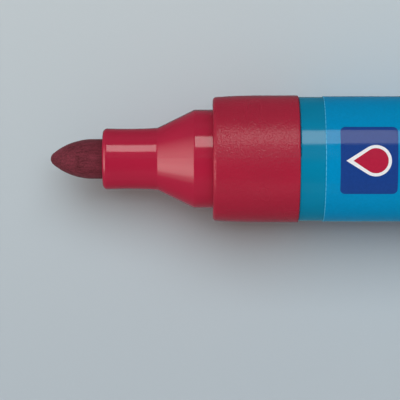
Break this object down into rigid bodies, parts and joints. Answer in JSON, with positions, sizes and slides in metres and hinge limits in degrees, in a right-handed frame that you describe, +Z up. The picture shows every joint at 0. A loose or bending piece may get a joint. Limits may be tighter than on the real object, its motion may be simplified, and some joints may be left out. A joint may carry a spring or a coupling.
{
  "type": "felt tip marker",
  "caption": "Felt tip marker with a bullet fibre nib, waisted nose, grip collar, labelled barrel, ink reservoir and a cap with a clip pushed on behind.",
  "frame": {"origin": "on the marker's long axis, at the middle of the label's length", "axes": "+X along the marker from the nib to the cap's end, +Z up as it lies on its side on a table, +Y away from the clip's side"},
  "size_m": [0.1542, 0.0188, 0.017],
  "materials": {
    "nib_felt": "bonded fibre, soaked dark red, matt",
    "ink_colour_gloss": "moulded red plastic, polished",
    "ink_colour_satin": "moulded red plastic, fine spark-eroded texture, satin",
    "barrel_plastic": "moulded teal blue plastic, polished",
    "label_film": "printed blue film, glossy",
    "reservoir_fibre": "polyester fibre bundle, soaked red",
    "reservoir_film": "thin clear wrap",
    "liner_plastic": "natural white polyethylene"
  },
  "bodies": {
    "pen": {"barrel": "barrel_plastic", "label_sleeve": "label_film", "nib_holder": "ink_colour_gloss", "grip_collar": "ink_colour_satin", "reservoir_core": "reservoir_fibre", "reservoir_film": "reservoir_film", "end_plug": "ink_colour_gloss"},
    "nib": {"nib": "nib_felt"},
    "cap": {"cap_shell": "ink_colour_gloss", "cap_liner": "liner_plastic"}
  },
  "joints": [
    {"name": "nib_pull", "type": "slide", "parent": "pen", "child": "nib", "axis": [-1, 0, 0], "range_m": [0, 0.03]},
    {"name": "cap_pull", "type": "slide", "parent": "pen", "child": "cap", "axis": [1, 0, 0], "range_m": [0, 0.025]}
  ]
}
